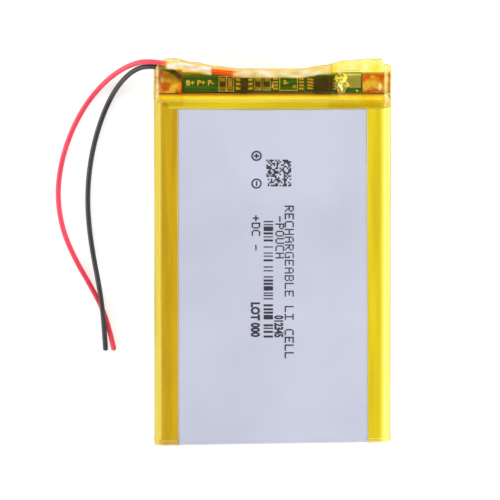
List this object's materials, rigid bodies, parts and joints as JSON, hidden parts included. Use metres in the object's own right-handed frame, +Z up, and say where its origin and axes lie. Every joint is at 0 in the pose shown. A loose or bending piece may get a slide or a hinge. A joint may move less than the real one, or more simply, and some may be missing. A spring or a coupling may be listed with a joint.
{
  "type": "pouch battery cell",
  "caption": "Flat rectangular pouch battery cell with taped side seals, a protection board under amber tape at one end, and short bare-ended red and black leads.",
  "frame": {"origin": "middle of the underside of the cell, without its free leads", "axes": "+Z up through the printed face, +Y along the cell towards the board end, +X to the right"},
  "size_m": [0.0716, 0.084, 0.01],
  "materials": {
    "pouch": "matte nylon-faced aluminium laminate",
    "yellow_tape": "glossy yellow polyester tape",
    "amber_tape": "clear amber polyimide film, crinkled",
    "cathode": "black oxide coating on aluminium foil",
    "anode": "graphite coating on copper foil",
    "separator": "thin porous white film",
    "roll_tape": "thin blue film tape",
    "aluminium_tab": "bare foil",
    "nickel": "nickel strip, slightly dull",
    "sealant": "milky film",
    "paper": "insulating paper",
    "board": "glass-epoxy board with green solder mask",
    "gold": "gold-plated copper",
    "chip": "moulded black epoxy",
    "resistor": "dark glaze on ceramic",
    "capacitor": "tan ceramic",
    "solder": "bright solder",
    "red_insulation": "smooth soft insulation",
    "black_insulation": "smooth soft insulation",
    "tinned_copper": "tinned strands"
  },
  "bodies": {
    "root": {"pouch_front_film": "pouch", "pouch_back_film": "pouch", "side_tape_left": "yellow_tape", "side_tape_right": "yellow_tape", "shoulder_tape": "yellow_tape", "end_wrap": "amber_tape", "cathode_strip": "cathode", "anode_strip": "anode", "separator_inner": "separator", "separator_outer": "separator", "roll_end_tape": "roll_tape", "positive_tab": "aluminium_tab", "negative_tab": "nickel", "positive_tab_sealant": "sealant", "negative_tab_sealant": "sealant", "positive_link_strip": "nickel", "negative_link_strip": "nickel", "insulating_strip": "paper", "circuit_board": "board", "board_pads": "gold", "protection_ic": "chip", "protection_ic_leads": "gold", "mosfet_chip": "chip", "mosfet_leads": "gold", "resistor_bodies": "resistor", "capacitor_body": "capacitor", "chip_end_caps": "gold", "tab_solder": "solder", "red_lead_solder": "solder", "black_lead_solder": "solder", "red_lead_inner": "red_insulation", "black_lead_inner": "black_insulation", "red_lead": "red_insulation", "black_lead": "black_insulation", "red_lead_tip": "tinned_copper", "black_lead_tip": "tinned_copper"}
  },
  "joints": []
}
